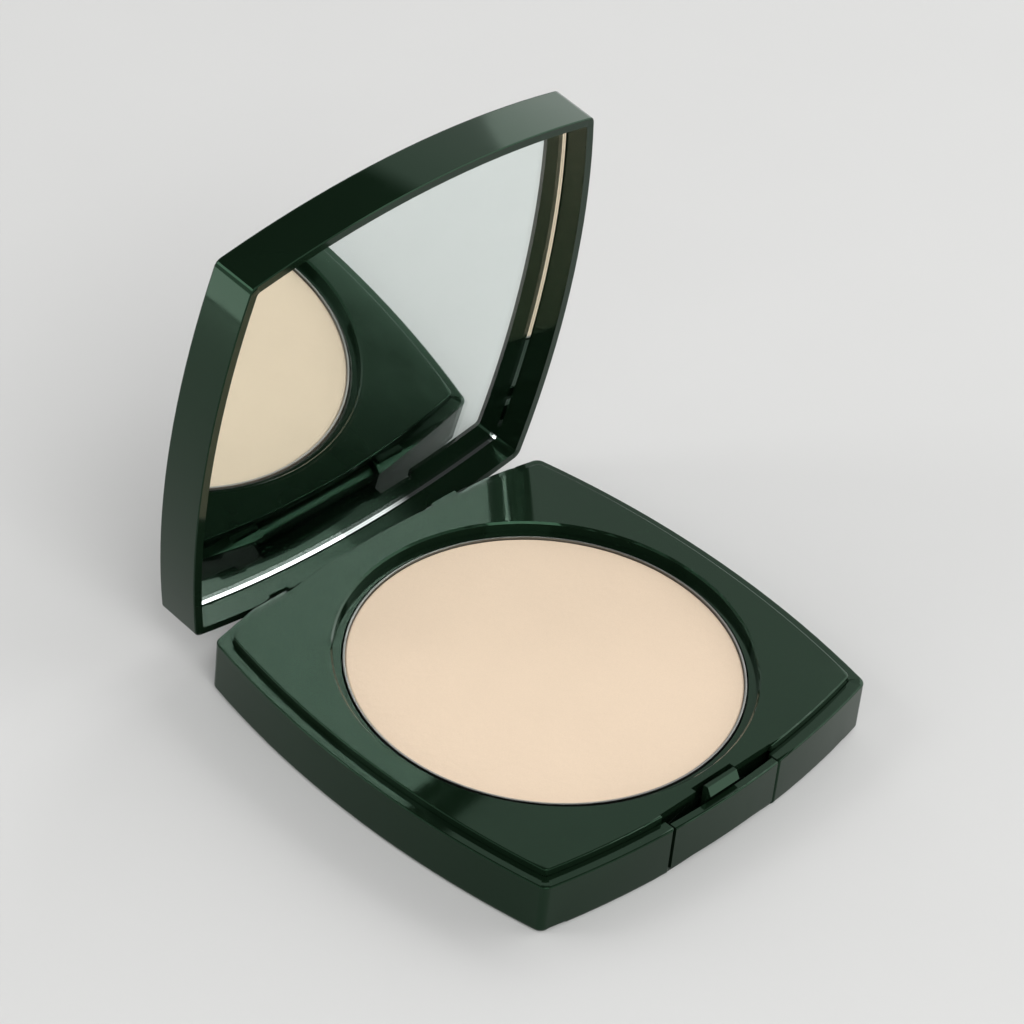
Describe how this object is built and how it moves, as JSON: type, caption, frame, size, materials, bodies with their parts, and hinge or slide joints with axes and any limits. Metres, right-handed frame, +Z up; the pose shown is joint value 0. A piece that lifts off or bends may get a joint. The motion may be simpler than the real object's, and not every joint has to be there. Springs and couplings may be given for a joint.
{
  "type": "powder compact",
  "caption": "Square powder compact with bowed sides: a mirrored lid on a pin hinge, a push-button catch and a round pan of pressed powder under a raised inner plate.",
  "frame": {"origin": "middle of the flat underside of the base", "axes": "+Z up from the table, +Y towards the hinge, -Y towards the push button, X along the hinge; the lid is open at rest"},
  "size_m": [0.0756, 0.0838, 0.0791],
  "materials": {
    "case_plastic": "polished, near-black green",
    "tray_plastic": "polished, near-black green",
    "button_plastic": "polished, near-black green",
    "pan_metal": "bright rolled sheet",
    "powder": "fine pressed powder, matte",
    "glue": "hot-melt glue",
    "spring_steel": "rolled strip",
    "pin_steel": "drawn wire",
    "mirror": "silvered float glass",
    "tape": "double-sided foam tape",
    "label_film": "blank satin film"
  },
  "bodies": {
    "base": {"base_shell": "case_plastic", "inner_tray": "tray_plastic", "powder_pan": "pan_metal", "pressed_powder": "powder", "pan_adhesive": "glue", "button_spring": "spring_steel", "base_label": "label_film"},
    "button": {"latch_button": "button_plastic"},
    "lid": {"lid_shell": "case_plastic", "mirror_glass": "mirror", "mirror_adhesive": "tape", "hinge_pin_left": "pin_steel", "hinge_pin_right": "pin_steel"}
  },
  "joints": [
    {"name": "lid_hinge", "type": "hinge", "parent": "base", "child": "lid", "pos_m": [0, 0.0349, 0.00575], "axis": [1, 0, 0], "range_deg": [0, 84]},
    {"name": "button_press", "type": "slide", "parent": "base", "child": "button", "axis": [0, 1, 0], "range_m": [0, 0.0009], "stiffness_N_per_m": 1500, "deforming": ["button_spring"]}
  ]
}
